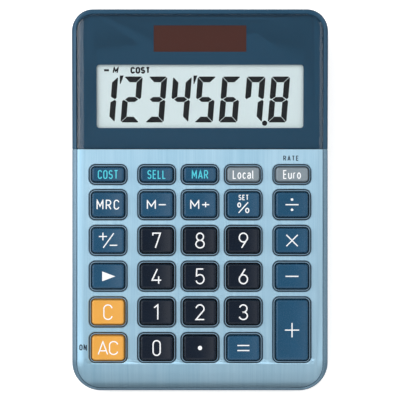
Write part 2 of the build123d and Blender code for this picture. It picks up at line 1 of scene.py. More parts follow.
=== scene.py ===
import math
import bmesh
import bpy
import numpy as np
from mathutils import Matrix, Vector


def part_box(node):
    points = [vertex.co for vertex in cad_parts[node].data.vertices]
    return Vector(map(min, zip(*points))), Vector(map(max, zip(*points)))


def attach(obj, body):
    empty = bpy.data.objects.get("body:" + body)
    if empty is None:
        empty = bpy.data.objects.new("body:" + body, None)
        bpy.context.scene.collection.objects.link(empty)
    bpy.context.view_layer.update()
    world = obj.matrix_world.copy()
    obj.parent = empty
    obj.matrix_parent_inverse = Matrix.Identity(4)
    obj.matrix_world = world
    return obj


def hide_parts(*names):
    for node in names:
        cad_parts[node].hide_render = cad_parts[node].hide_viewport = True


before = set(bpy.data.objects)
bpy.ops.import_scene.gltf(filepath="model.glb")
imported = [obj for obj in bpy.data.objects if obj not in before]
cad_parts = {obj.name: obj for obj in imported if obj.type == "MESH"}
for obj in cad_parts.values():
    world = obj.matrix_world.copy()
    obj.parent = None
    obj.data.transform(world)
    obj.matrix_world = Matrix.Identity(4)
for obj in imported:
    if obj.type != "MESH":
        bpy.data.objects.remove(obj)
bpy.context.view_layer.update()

# The script works in millimetres on the two tilted planes of the CAD model and turns them to the frame's
# metres only when a mesh is made. On both planes u runs to the right, v up towards the rear and w out of
# the surface.
plane = {"keySlope": 4.5, "keyHeight": 20.0, "displaySlope": 8.0, "crease": 20.5}
crown = {"start": 46.0, "radius": 8.5}  # both planes are flat as far as start and then roll over
keySlope = math.radians(plane["keySlope"])
displaySlope = math.radians(plane["displaySlope"])
creaseY = plane["crease"] * math.cos(keySlope)
creaseZ = plane["keyHeight"] + plane["crease"] * math.sin(keySlope)


# tilts points: y = origin + v cos(slope) - w sin(slope), z = origin + v sin(slope) + w cos(slope)
def tilted(points, slope, originY, originZ):
    u, v, w = np.asarray(points, float).T
    y = originY + v * math.cos(slope) - w * math.sin(slope)
    z = originZ + v * math.sin(slope) + w * math.cos(slope)
    return np.stack([u, y, z], 1)


def onKeypad(points):
    return tilted(points, keySlope, 0.0, plane["keyHeight"])


def onDisplay(points):
    return tilted(points, displaySlope, creaseY, creaseZ)


# drop of the crowned surface below its plane: zero as far as start, then radius less the circle's height
def crownDrop(u):
    over = np.clip(np.abs(u) - crown["start"], 0, None)
    return crown["radius"] - np.sqrt(crown["radius"] ** 2 - over ** 2)


# a piece on one body, with a mesh from points in millimetres and faces
def makePiece(name, points, faces, material, body, smooth=True):
    mesh = bpy.data.meshes.new(name)
    mesh.from_pydata((np.asarray(points) * 0.001).tolist(), [], [list(face) for face in faces])
    mesh.materials.append(material)
    mesh.polygons.foreach_set("use_smooth", np.full(len(mesh.polygons), smooth))
    mesh.validate()
    mesh.update()
    piece = bpy.data.objects.new(name, mesh)
    bpy.context.scene.collection.objects.link(piece)
    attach(piece, body)
    return piece


# sRGB hex to linear: c / 12.92 below 0.04045, else ((c + 0.055) / 1.055) ^ 2.4
def hexColour(text):
    srgb = np.array([int(text[i:i + 2], 16) for i in (1, 3, 5)]) / 255
    linear = np.where(srgb <= 0.04045, srgb / 12.92, ((srgb + 0.055) / 1.055) ** 2.4)
    return (*linear.tolist(), 1.0)


# adds a node with its settings and links; a link is (socket name or number, other node, its output)
def addNode(tree, kind, settings=None, links=None, **options):
    node = tree.nodes.new(kind)
    for name, value in options.items():
        setattr(node, name, value)
    for socket, value in (settings or {}).items():
        node.inputs[socket].default_value = value
    for socket, source, output in links or []:
        tree.links.new(source.outputs[output], node.inputs[socket])
    return node


# an empty material with its output and the object's own coordinates, in metres
def newMaterial(name):
    material = bpy.data.materials.new(name)
    material.use_nodes = True
    tree = material.node_tree
    tree.nodes.clear()
    output = addNode(tree, "ShaderNodeOutputMaterial")
    place = addNode(tree, "ShaderNodeTexCoord")
    return material, tree, output, place


# noise of about one bump every grain millimetres, squeezed by stretch along each axis
def addGrain(tree, place, grain, detail=3.0, stretch=(1, 1, 1), roughness=0.55):
    scaled = addNode(tree, "ShaderNodeMapping", {"Scale": [1000 / (grain * s) for s in stretch]},
                     [("Vector", place, "Object")])
    return addNode(tree, "ShaderNodeTexNoise", {"Scale": 1.0, "Detail": detail, "Roughness": roughness},
                   [("Vector", scaled, "Vector")])


# spreads a grain's middle values over low to high
def addRange(tree, grain, low, high, centre=0.5, spread=0.25):
    return addNode(tree, "ShaderNodeMapRange",
                   {"From Min": centre - spread, "From Max": centre + spread, "To Min": low, "To Max": high},
                   [("Value", grain, "Fac")])


# mixes two colours by a value
def addBlend(tree, factor, first, second):
    mix = addNode(tree, "ShaderNodeMix", links=[("Factor", factor, 0)], data_type="RGBA")
    mix.inputs[6].default_value = first
    mix.inputs[7].default_value = second
    return mix


# the principled shader with its constants, and what is plugged into its colour, roughness and normal
def addShader(tree, output, settings, colour, roughness=None, normal=None):
    shader = addNode(tree, "ShaderNodeBsdfPrincipled", settings)
    tree.links.new(colour.outputs[2], shader.inputs["Base Color"])
    if roughness:
        tree.links.new(roughness.outputs[0], shader.inputs["Roughness"])
    if normal:
        tree.links.new(normal.outputs[0], shader.inputs["Normal"])
    tree.links.new(shader.outputs[0], output.inputs["Surface"])
    return shader


# raises the surface by a grain's value times a height in millimetres
def addBump(tree, grain, height):
    return addNode(tree, "ShaderNodeBump", {"Strength": 1.0, "Distance": height * 0.001},
                   [("Height", grain, "Fac")])


# moulded ABS: an even colour and a soft gloss, broken by the mould's spark texture of a third of a
# millimetre and by flow marks some millimetres wide
def mouldedAbs(name, colour, shade, roughness=0.42, grain=0.35, height=0.006, gloss=0.5):
    material, tree, output, place = newMaterial(name)
    texture = addGrain(tree, place, grain)
    flowMarks = addGrain(tree, place, 6.0, detail=1.0)
    tint = addBlend(tree, addRange(tree, flowMarks, 0, 1), hexColour(colour), hexColour(shade))
    polish = addRange(tree, texture, roughness - 0.06, roughness + 0.06)
    addShader(tree, output, {"IOR": 1.53, "Specular IOR Level": gloss}, tint, polish,
              addBump(tree, texture, height))
    return material


# a value that goes from 0 to 1 as a point's height above the keypad plane goes from low to high
def addKeypadHeight(tree, place, low, high):
    height = addNode(tree, "ShaderNodeVectorMath",
                     {1: (0, -math.sin(keySlope), math.cos(keySlope))}, [(0, place, "Object")],
                     operation="DOT_PRODUCT")
    base = plane["keyHeight"] * math.cos(keySlope)
    return addNode(tree, "ShaderNodeMapRange",
                   {"From Min": (base + low) * 0.001, "From Max": (base + high) * 0.001},
                   [("Value", height, "Value")])


# 1 inside the keypad's well, where shade and highlight are painted, 0 on the rails round it
def addWellMask(tree, place):
    axes = addNode(tree, "ShaderNodeSeparateXYZ", links=[(0, place, "Object")])
    side = addNode(tree, "ShaderNodeMath", links=[(0, axes, "X")], operation="ABSOLUTE")
    across = addNode(tree, "ShaderNodeMath", {1: well["halfWidth"] * 0.001}, [(0, side, 0)],
                     operation="LESS_THAN")
    along = addNode(tree, "ShaderNodeMath", {1: well["front"] * 0.001}, [(0, axes, "Y")],
                    operation="GREATER_THAN")
    return addNode(tree, "ShaderNodeMath", links=[(0, across, 0), (1, along, 0)], operation="MULTIPLY")


# metallic spray paint on ABS: flakes that glint under a thin clear coat, in clouds as the spray gun leaves
# them. Real flakes are nearer 0.05 mm and are drawn coarse enough to show. With a well, shade and light are
# painted in it: the collars round the keys are paler, a painted highlight of their lit tops, and the floor
# between them and the keys is nearly black, a painted shade of the narrow gaps
def metallicPaint(name, colour, flake, painted=None):
    material, tree, output, place = newMaterial(name)
    flakes = addGrain(tree, place, spray["flake"], detail=4.0, roughness=0.8)
    cloud = addGrain(tree, place, spray["cloud"], detail=1.0)
    tint = addBlend(tree, addRange(tree, flakes, 0, 1, 0.55, 0.2), hexColour(colour), hexColour(flake))
    if painted:
        # painted shade and highlight by height: near black low in the gaps round the keys, paler on the
        # collars' tops
        wellShadeByHeight = addKeypadHeight(tree, place, painted["floorTop"], painted["collarTop"])
        wellShadeAndHighlight = addBlend(tree, wellShadeByHeight, hexColour(painted["floor"]), hexColour(painted["collar"]))
        tint = addNode(tree, "ShaderNodeMix", links=[("Factor", addWellMask(tree, place), 0),
                                                     (6, tint, 2), (7, wellShadeAndHighlight, 2)], data_type="RGBA")
    gloss = addRange(tree, cloud, spray["roughness"] - 0.04, spray["roughness"] + 0.04)
    addShader(tree, output, {"Metallic": spray["metallic"], "IOR": 1.5, "Coat Weight": spray["coat"],
                             "Coat Roughness": spray["coatRoughness"]},
              tint, gloss, addBump(tree, flakes, 0.004))
    return material


# brushed anodised aluminium: fine lines along the case, so reflections spread sideways and stay sharp
# along the lines, with a pale blue dye in the oxide
def brushedAluminium(name, values):
    material, tree, output, place = newMaterial(name)
    lines = addGrain(tree, place, values["lineWidth"], 4.0, (1, values["lineLength"], values["lineLength"]))
    broad = addGrain(tree, place, values["bandWidth"], 2.0, (1, values["bandLength"], values["bandLength"]))
    blotch = addGrain(tree, place, values["blotch"], 2.0, (0.6, 1.4, 1))
    fine = addBlend(tree, addRange(tree, lines, 0, 1), hexColour(values["dark"]), hexColour(values["light"]))
    soft = addBlend(tree, addRange(tree, broad, 0, 1), hexColour(values["shade"]), (1, 1, 1, 1))
    tinted = addNode(tree, "ShaderNodeMix", {"Factor": 1.0}, [(6, fine, 2), (7, soft, 2)],
                     data_type="RGBA", blend_type="MULTIPLY")
    dye = addBlend(tree, addRange(tree, blotch, 0, 1), hexColour(values["dyeLow"]), (1, 1, 1, 1))
    dyed = addNode(tree, "ShaderNodeMix", {"Factor": 1.0}, [(6, tinted, 2), (7, dye, 2)],
                   data_type="RGBA", blend_type="MULTIPLY")
    gloss = addRange(tree, lines, values["roughness"] - 0.05, values["roughness"] + 0.05)
    # the tangent lies along the lines and the wider blur a quarter turn from it, across them
    shader = addShader(tree, output, {"Metallic": values["metallic"], "Anisotropic": values["anisotropic"],
                                      "Anisotropic Rotation": 0.25},
                       dyed, gloss, addBump(tree, lines, 0.002))
    along = addNode(tree, "ShaderNodeTangent", direction_type="RADIAL", axis="X")
    tree.links.new(along.outputs[0], shader.inputs["Tangent"])
    return material


# polished acrylic or glass: seen straight through, with a sharp reflection that grows at a glancing view
# as f + (1 - f) x facing^5, the same from both sides, and is a little duller where it was wiped
def clearAcrylic(name, tint, straight, roughness=0.03):
    material, tree, output, place = newMaterial(name)
    wipe = addGrain(tree, place, 9.0, detail=2.0)
    facing = addNode(tree, "ShaderNodeLayerWeight", {"Blend": 0.5})
    power = addNode(tree, "ShaderNodeMath", {1: 5.0}, [(0, facing, "Facing")], operation="POWER")
    share = addNode(tree, "ShaderNodeMath", {1: 1 - straight, 2: straight}, [(0, power, 0)],
                    operation="MULTIPLY_ADD")
    clear = addNode(tree, "ShaderNodeBsdfTransparent", {"Color": hexColour(tint)})
    gloss = addRange(tree, wipe, roughness, roughness + 0.03)
    shine = addNode(tree, "ShaderNodeBsdfPrincipled", {"Base Color": (1, 1, 1, 1), "Metallic": 1.0},
                    [("Roughness", gloss, 0)])
    mix = addNode(tree, "ShaderNodeMixShader", links=[(0, share, 0), (1, clear, 0), (2, shine, 0)])
    tree.links.new(mix.outputs[0], output.inputs["Surface"])
    return material


# screen print on the back of a film: a flat dark ink with fine metallic specks, half a millimetre apart
def printedFilm(name, colour, speck):
    material, tree, output, place = newMaterial(name)
    specks = addGrain(tree, place, 0.5, detail=5.0, roughness=0.85)
    tint = addBlend(tree, addRange(tree, specks, 0, 1, 0.6, 0.2), hexColour(colour), hexColour(speck))
    addShader(tree, output, {"Roughness": 0.5, "Specular IOR Level": 0.15}, tint)
    return material


# a thin even coat or film, such as pad-printed ink, a polariser or a crystal segment: one flat colour that
# varies a little from millimetre to millimetre, with hardly any gloss
def flatInk(name, colour, shade, roughness=0.45, gloss=0.3):
    material, tree, output, place = newMaterial(name)
    cloud = addGrain(tree, place, 1.2, detail=2.0)
    tint = addBlend(tree, addRange(tree, cloud, 0, 1), hexColour(colour), hexColour(shade))
    addShader(tree, output, {"Roughness": roughness, "Specular IOR Level": gloss}, tint)
    return material


# moulded silicone, nitrile and other soft rubber: matt, with a dusty grain of half a millimetre
def mouldedRubber(name, colour, shade):
    material, tree, output, place = newMaterial(name)
    grain = addGrain(tree, place, 0.5)
    tint = addBlend(tree, addRange(tree, grain, 0, 1), hexColour(colour), hexColour(shade))
    addShader(tree, output, {"Roughness": 0.75, "IOR": 1.52}, tint, None, addBump(tree, grain, 0.02))
    return material


# zinc or nickel plate on rolled steel: bright, with short rolling marks 0.3 mm wide
def platedSteel(name, colour, shade, roughness=0.3):
    material, tree, output, place = newMaterial(name)
    marks = addGrain(tree, place, 0.3, 3.0, (1, 6, 1))
    tint = addBlend(tree, addRange(tree, marks, 0, 1), hexColour(colour), hexColour(shade))
    gloss = addRange(tree, marks, roughness - 0.08, roughness + 0.1)
    addShader(tree, output, {"Metallic": 1.0}, tint, gloss, addBump(tree, marks, 0.004))
    return material


# glass-fibre board under solder resist: the weave, 1.6 threads to the millimetre, shows faintly through a
# gloss
def solderResist(name, colour, shade, threads=1.6):
    material, tree, output, place = newMaterial(name)
    weave = addNode(tree, "ShaderNodeMapping", {"Scale": [1000 * threads] * 3}, [("Vector", place, "Object")])
    checks = addNode(tree, "ShaderNodeTexChecker", {"Scale": 1.0}, [("Vector", weave, "Vector")])
    tint = addBlend(tree, checks, hexColour(colour), hexColour(shade))
    tree.links.new(checks.outputs["Fac"], tint.inputs["Factor"])
    addShader(tree, output, {"Roughness": 0.3, "IOR": 1.55}, tint)
    return material


print("materials")
spray = {
    "flake": 0.45,
    "cloud": 12.0,
    "metallic": 0.35,
    "roughness": 0.38,
    "coat": 0.15,
    "coatRoughness": 0.12,
}
well = {"halfWidth": 46.5, "front": -70.0}
# painted shade and highlight in the keypad's well: heights above the keypad plane between which the
# near-black floor, a painted shade of the gaps round the keys, goes over into the paler collars, a painted
# highlight of their lit tops
paintedWellShadeAndHighlight = {"floorTop": -0.45, "collarTop": -0.3, "floor": "#05080C", "collar": "#86A8C0"}
plateFinish = {
    "lineWidth": 0.28,  # brushing lines are nearer 0.05 mm wide: drawn coarse enough to show
    "lineLength": 90,  # lines and bands are this many times as long as they are wide
    "bandWidth": 1.6,
    "bandLength": 30,
    "blotch": 25.0,  # unevenness of the dye bath
    "dark": "#A8CBDF",
    "light": "#B9D8E8",
    "shade": "#F0F5F8",
    "dyeLow": "#EAF4F8",
    "roughness": 0.45,
    "metallic": 0.85,
    "anisotropic": 0.8,
}
finishes = {
    # the rails carry the housing's real paint; inside the well the colour is painted shade and highlight
    "keypad_housing": metallicPaint("paleBlueMetallicPaintAndPaintedWellShade", "#5C7C91", "#7C9AAD", painted=paintedWellShadeAndHighlight),
    "display_housing": metallicPaint("darkBlueMetallicPaint", "#13405A", "#235573"),
    "face_plate": brushedAluminium("brushedAnodisedAluminium", plateFinish),
    "display_window": clearAcrylic("polishedAcrylic", "#FDFEFF", 0.04),
    "window_mask": printedFilm("darkPrintedFilm", "#184159", "#1E4861"),
    "lcd_front_glass": clearAcrylic("displayGlass", "#FFFFFF", 0.006),
    "lcd_rear_glass": flatInk("displayPolariser", "#E8F5F3", "#E4F1F0", 0.6),
    "lcd_reflector": flatInk("paleReflector", "#DCE4E3", "#D8E0DF"),
    "lcd_holder": mouldedAbs("blackMouldedAbs", "#1B1D20", "#15171A"),
    "lcd_ribbon": flatInk("amberPolyimide", "#B8762A", "#A86A24", 0.3),
    "solar_cell": flatInk("amorphousSilicon", "#4C2318", "#482016", 0.4, 0.1),
    "solar_leads": mouldedRubber("redWireInsulation", "#A32A22", "#93231C"),
    "key_mat": mouldedRubber("paleSilicone", "#A9ADB0", "#9FA3A6"),
    "contact_pads": flatInk("carbonInk", "#1E1F20", "#262728", 0.7),
    "main_board": solderResist("greenSolderResist", "#1E5A38", "#1A4F31"),
    "chip_cover": mouldedAbs("blackEpoxy", "#121314", "#1A1B1C", 0.25, 1.5, 0.03),
    "board_components": mouldedAbs("componentBodies", "#2B2620", "#35302A", 0.5),
    "board_screws": platedSteel("zincPlatedSteel", "#B9B7AE", "#A3A198"),
    "lower_case": mouldedAbs("darkTexturedAbs", "#22384D", "#1E3347", 0.55, 0.45, 0.02),
    "battery_cover": mouldedAbs("darkCoverAbs", "#22384D", "#1E3347", 0.55, 0.45, 0.02),
    "button_cell": platedSteel("nickelPlatedCan", "#C9C6BF", "#B4B1AA", 0.22),
    "cell_top_contact": platedSteel("nickelPlatedStrip", "#C4C2BC", "#AFADA7", 0.28),
    "rubber_feet": mouldedRubber("greyNitrileRubber", "#2A2C2E", "#232527"),
}
for node, like in (("case_screws", "board_screws"), ("battery_cover_screw", "board_screws"),
                   ("cell_side_contact", "cell_top_contact")):
    finishes[node] = finishes[like]
finishes["battery_leads"] = mouldedRubber("blackWireInsulation", "#202224", "#18191B")
keyFinishes = {
    "dark": mouldedAbs("nightBlueKeyAbs", "#081728", "#071424", 0.24, gloss=0.33),
    "blue": mouldedAbs("blueKeyAbs", "#1B4E6E", "#1A4A68", 0.26, gloss=0.4),
    "grey": mouldedAbs("greyKeyAbs", "#828F98", "#7D8A92", 0.34, gloss=0.45),
    "orange": mouldedAbs("orangeKeyAbs", "#EAA848", "#E7A542", 0.36, gloss=0.4),
}
inkFinishes = {
    "white": flatInk("whitePadPrint", "#FBFCFD", "#F6F8FA"),
    "turquoise": flatInk("turquoisePadPrint", "#55D2E2", "#4CC8DA"),
    "navy": flatInk("navyPadPrint", "#1A2A3A", "#1D2D3E"),
    "segment": flatInk("crystalSegment", "#0A0C0F", "#0C0E12", 0.5, 0.1),
}


print("case")
joining = {
    "weld": 2e-6,  # metres
    "flat": 0.1,  # degrees between faces that count as one flat face
    "crease": 32.0,  # degrees from which an edge stays sharp
}
# the directions of the case's flat faces
flatDirections = [(0, -side * math.sin(slope), side * math.cos(slope))
                  for slope in (keySlope, displaySlope) for side in (1, -1)]
flatDirections += [(0, 0, 1), (0, 0, -1), (1, 0, 0), (-1, 0, 0), (0, 1, 0), (0, -1, 0)]


# a copy of a CAD node with its corners joined, shaded smoothly over edges blunter than the crease. The
# corners of flat faces, and those of the curved faces that run into them, keep the flat face's direction
def smoothCopy(node, material):
    flat, crease = math.radians(joining["flat"]), math.radians(joining["crease"])
    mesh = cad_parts[node].data.copy()
    mesh.name = "smooth_" + node
    shape = bmesh.new()
    shape.from_mesh(mesh)
    bmesh.ops.remove_doubles(shape, verts=shape.verts, dist=joining["weld"])
    bmesh.ops.dissolve_limit(shape, angle_limit=flat, verts=shape.verts, edges=shape.edges)
    shape.to_mesh(mesh)
    shape.free()
    mesh.materials.clear()
    mesh.materials.append(material)
    mesh.polygons.foreach_set("use_smooth", np.full(len(mesh.polygons), True))
    mesh.set_sharp_from_angle(angle=crease)
    corners, faces = np.empty(3 * len(mesh.loops)), np.empty(3 * len(mesh.polygons))
    vertices, sizes = np.empty(len(mesh.loops), int), np.empty(len(mesh.polygons), int)
    mesh.corner_normals.foreach_get("vector", corners)
    mesh.polygons.foreach_get("normal", faces)
    mesh.loops.foreach_get("vertex_index", vertices)
    mesh.polygons.foreach_get("loop_total", sizes)
    corners = corners.reshape(-1, 3)
    faces = np.repeat(faces.reshape(-1, 3), sizes, axis=0)
    for direction in flatDirections:
        likeness = faces @ np.array(direction)
        touching = np.isin(vertices, vertices[likeness > math.cos(flat)])
        corners[touching & (likeness > math.cos(crease))] = direction
    mesh.normals_split_custom_set(corners.tolist())
    piece = bpy.data.objects.new("smooth_" + node, mesh)
    bpy.context.scene.collection.objects.link(piece)
    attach(piece, "case")
    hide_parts(node)


smoothNodes = ("keypad_housing", "display_housing", "lower_case", "face_plate", "display_window",
               "window_mask", "rubber_feet", "battery_cover")
for node in smoothNodes:
    smoothCopy(node, finishes[node])
for node, material in finishes.items():
    if node not in smoothNodes:
        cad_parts[node].data.materials.clear()
        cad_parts[node].data.materials.append(material)


print("keys")
keyShape = {
    "holeRadius": 2.5,
    "shrink": 1.15,  # from the plate's opening to the key
    "rise": 2.2,  # of the edge over the keypad plane
    "draft": 8.0,
    "edge": 0.6,
    "dish": 55.0,
    "flange": 0.9,
    "flangeTop": -2.1,
    "flangeSlack": 0.05,  # the flange is drawn this much lower, clear of the deck above it
    "bottom": -3.0,
    "crease": 50.0,
    "cornerSteps": 10,
    "sideSteps": 16,
    "edgeSteps": 7,
    "topSteps": 14,
}


# outline of a rounded rectangle drawn in by s: straight runs between quarter circles about fixed centres
def roundedOutline(halfWidth, halfHeight, radius, s):
    angles = np.linspace(0, math.pi / 2, keyShape["cornerSteps"] + 1)
    corners = []
    for turn, (signU, signV) in enumerate(((1, 1), (-1, 1), (-1, -1), (1, -1))):
        a = angles + turn * math.pi / 2
        corners.append(np.stack([signU * (halfWidth - radius) + (radius - s) * np.cos(a),
                                 signV * (halfHeight - radius) + (radius - s) * np.sin(a)], 1))
    share = np.linspace(0, 1, keyShape["sideSteps"] + 1)[1:-1, None]
    runs = []
    for turn in range(4):
        start, end = corners[turn][-1], corners[(turn + 1) % 4][0]
        runs += [corners[turn], start + (end - start) * share]
    return np.concatenate(runs)


# height of the dished top: the edge's height less the sag of a circle of the dish's radius
def dishHeight(u, halfWidth):
    radius = keyShape["dish"]
    return keyShape["rise"] + np.sqrt(radius ** 2 - halfWidth ** 2) - np.sqrt(radius ** 2 - u ** 2)


# joins rings of points into a closed skin with one point at each end
def ringSkin(rings):
    count = len(rings[0])
    points = np.concatenate([rings[0].mean(0)[None]] + list(rings) + [rings[-1].mean(0)[None]])
    column = np.arange(count)
    following = (column + 1) % count
    faces = [np.stack([np.zeros(count, int), 1 + following, 1 + column], 1)]
    quads = []
    for ring in range(len(rings) - 1):
        low = 1 + ring * count
        quads.append(np.stack([low + column, low + following, low + count + following,
                               low + count + column], 1))
    last = 1 + (len(rings) - 1) * count
    faces.append(np.stack([last + column, last + following, np.full(count, len(points) - 1)], 1))
    return points, np.concatenate(quads).tolist() + np.concatenate(faces).tolist()


# a key's skin: flange, upright skirt, drafted sides, a quarter-circle edge that follows the dish, and the
# dished top drawn in to its middle
def keySkin(width, height):
    k = keyShape
    halfWidth, halfHeight = width / 2 - k["shrink"], height / 2 - k["shrink"]
    radius = k["holeRadius"] - k["shrink"]
    ledge = k["flangeTop"] - k["flangeSlack"]
    rings = []
    for s, z in ((-k["flange"], k["bottom"]), (-k["flange"], ledge), (0, ledge), (0, 0)):
        outline = roundedOutline(halfWidth, halfHeight, radius, s)
        rings.append(np.column_stack([outline, np.full(len(outline), z)]))
    lean = math.tan(math.radians(k["draft"]))
    shoulder = k["rise"] - k["edge"]
    for turn in np.linspace(0, math.pi / 2, k["edgeSteps"]):
        s = lean * shoulder + k["edge"] * (1 - math.cos(turn))
        outline = roundedOutline(halfWidth, halfHeight, radius, s)
        z = dishHeight(outline[:, 0], halfWidth) - k["edge"] * (1 - math.sin(turn))
        rings.append(np.column_stack([outline, z]))
    rim = rings[-1][:, :2]
    for share in np.linspace(1, 0, k["topSteps"])[1:-1]:
        outline = rim * share
        rings.append(np.column_stack([outline, dishHeight(outline[:, 0], halfWidth)]))
    points, faces = ringSkin(rings)
    points[-1, 2] = dishHeight(np.zeros(1), halfWidth)[0]
    return points, faces


# letters are strokes: each is a list of points in a box one unit high, with round parts worked out as arcs
def arc(centreX, centreY, radiusX, radiusY, start, end, steps=14):
    a = np.radians(np.linspace(start, end, steps))
    return np.stack([centreX + radiusX * np.cos(a), centreY + radiusY * np.sin(a)], 1)


def run(*corners):
    return np.array(corners, float).reshape(-1, 2)


def joined(*parts):
    return np.concatenate(parts)


# an upright letter O: half a circle at each end and straight sides
def upright(width):
    half = width / 2
    return joined(arc(half, 1 - half, half, half, 0, 180), arc(half, half, half, half, 180, 360),
                  run((width, 1 - half)))


# each letter's width and its strokes
glyphs = {
    "0": (0.48, [upright(0.48)]),
    "1": (0.34, [run((0.0, 0.8), (0.25, 1.0), (0.25, 0.0))]),
    "2": (0.55, [joined(arc(0.275, 0.73, 0.27, 0.27, 170, -25), run((0.0, 0.0), (0.56, 0.0)))]),
    "3": (0.55, [joined(arc(0.27, 0.75, 0.25, 0.25, 165, -80), run((0.22, 0.5))),
                 joined(run((0.24, 0.5)), arc(0.27, 0.255, 0.28, 0.255, 85, -165))]),
    "4": (0.62, [run((0.36, 1.0), (0.0, 0.24), (0.62, 0.24)), run((0.45, 0.5), (0.45, 0.0))]),
    "5": (0.55, [joined(run((0.5, 1.0), (0.06, 1.0), (0.03, 0.53)), arc(0.27, 0.31, 0.28, 0.31, 130, -160))]),
    "6": (0.56, [run((0.4, 1.0), (0.05, 0.45)), arc(0.28, 0.3, 0.28, 0.3, 0, 360, 26)]),
    "7": (0.51, [run((0.0, 0.84), (0.0, 1.0), (0.51, 1.0), (0.17, 0.0))]),
    "8": (0.56, [arc(0.28, 0.755, 0.235, 0.245, 0, 360, 24), arc(0.28, 0.26, 0.28, 0.26, 0, 360, 26)]),
    "9": (0.56, [run((0.16, 0.0), (0.51, 0.55)), arc(0.28, 0.7, 0.28, 0.3, 0, 360, 26)]),
    "A": (0.62, [run((0.0, 0.0), (0.31, 1.0), (0.62, 0.0)), run((0.1, 0.28), (0.52, 0.28))]),
    "C": (0.54, [joined(arc(0.27, 0.73, 0.27, 0.27, 10, 180), arc(0.27, 0.27, 0.27, 0.27, 180, 350))]),
    "E": (0.46, [run((0.46, 1.0), (0.0, 1.0), (0.0, 0.0), (0.46, 0.0)), run((0.0, 0.52), (0.4, 0.52))]),
    "L": (0.42, [run((0.0, 1.0), (0.0, 0.0), (0.42, 0.0))]),
    "M": (0.68, [run((0.0, 0.0), (0.0, 1.0), (0.34, 0.32), (0.68, 1.0), (0.68, 0.0))]),
    "N": (0.54, [run((0.0, 0.0), (0.0, 1.0), (0.54, 0.0), (0.54, 1.0))]),
    "O": (0.54, [upright(0.54)]),
    "R": (0.54, [joined(run((0.0, 0.0), (0.0, 1.0)), arc(0.27, 0.73, 0.26, 0.27, 90, -90), run((0.0, 0.46))),
                 run((0.26, 0.46), (0.55, 0.0))]),
    "S": (0.52, [joined(arc(0.26, 0.75, 0.25, 0.25, 25, 255), arc(0.26, 0.255, 0.26, 0.255, 75, -160))]),
    "T": (0.52, [run((0.0, 1.0), (0.52, 1.0)), run((0.26, 1.0), (0.26, 0.0))]),
    "a": (0.46, [joined(arc(0.23, 0.5, 0.22, 0.2, 150, 0), run((0.45, 0.0))),
                 joined(run((0.45, 0.42)), arc(0.21, 0.21, 0.21, 0.21, 90, 330))]),
    "c": (0.42, [arc(0.23, 0.35, 0.23, 0.35, 40, 320)]),
    "l": (0.14, [joined(run((0.0, 1.0)), arc(0.12, 0.13, 0.12, 0.13, 180, 270, 6))]),
    "o": (0.48, [arc(0.24, 0.35, 0.24, 0.35, 0, 360, 22)]),
    "r": (0.3, [joined(run((0.0, 0.0), (0.0, 0.7))), arc(0.2, 0.45, 0.2, 0.24, 180, 70, 8)]),
    "u": (0.46, [joined(run((0.0, 0.7)), arc(0.22, 0.23, 0.22, 0.23, 180, 330)),
                 run((0.46, 0.7), (0.46, 0.0))]),
    "-": (0.62, [run((0.0, 0.5), (0.62, 0.5))]),
    "+": (0.62, [run((0.0, 0.5), (0.62, 0.5)), run((0.31, 0.19), (0.31, 0.81))]),
}


# points along a line at even steps no longer than a fifth of a millimetre
def evenSteps(line, step=0.2):
    keep = np.append(True, np.linalg.norm(np.diff(line, axis=0), axis=1) > 1e-6)
    line = line[keep]
    lengths = np.append(0, np.cumsum(np.linalg.norm(np.diff(line, axis=0), axis=1)))
    places = np.linspace(0, lengths[-1], max(2, int(math.ceil(lengths[-1] / step)) + 1))
    places = np.unique(np.concatenate([places, lengths]))
    return np.column_stack([np.interp(places, lengths, line[:, i]) for i in (0, 1)])


# a ribbon of even width: each point moves half the width to both sides along the mitre of its two runs
def ribbon(line, width):
    line = evenSteps(line)
    heading = np.diff(line, axis=0)
    heading /= np.linalg.norm(heading, axis=1)[:, None]
    before = np.concatenate([heading[:1], heading])
    after = np.concatenate([heading, heading[-1:]])
    if np.linalg.norm(line[0] - line[-1]) < 1e-6:
        before[0] = heading[-1]
        after[-1] = heading[0]
    middle = before + after
    middle /= np.maximum(np.linalg.norm(middle, axis=1), 0.3)[:, None]  # a hairpin's middle stays short
    side = np.stack([-middle[:, 1], middle[:, 0]], 1)
    reach = width / 2 / np.clip((middle * after).sum(1), 0.45, 1)  # and sharp corners stay blunt
    left, right = line + side * reach[:, None], line - side * reach[:, None]
    points = np.stack([right, left], 1).reshape(-1, 2)
    first = np.arange(len(line) - 1) * 2
    return points, np.stack([first, first + 2, first + 3, first + 1], 1)


# a word's strokes in millimetres, centred on a place: each is its line and its width
def wordStrokes(word, style, centre=(0, 0)):
    stretch, spacing, height = style["stretch"], style["spacing"], style["height"]
    lean = math.tan(math.radians(style.get("lean", 0)))
    x = -(sum(glyphs[letter][0] * stretch + spacing for letter in word) - spacing) / 2
    strokes = []
    for letter in word:
        width, lines = glyphs[letter]
        for line in lines:
            placed = np.column_stack([(line[:, 0] * stretch + x), line[:, 1] - 0.5]) * height
            placed[:, 0] += placed[:, 1] * lean
            strokes.append((placed + np.asarray(centre, float), style["stroke"]))
        x += width * stretch + spacing
    return strokes


# flat shapes from strokes and filled outlines, as points and faces
def inkShapes(strokes, outlines=()):
    points, faces, start = [], [], 0
    for line, width in strokes:
        p, f = ribbon(line, width)
        points.append(p)
        faces += (f + start).tolist()
        start += len(p)
    for outline in outlines:
        points.append(np.asarray(outline, float))
        faces.append(list(range(start, start + len(outline))))
        start += len(outline)
    return np.concatenate(points), faces


def disc(x, y, radius):
    return arc(x, y, radius, radius, 0, 360, 25)[:-1]


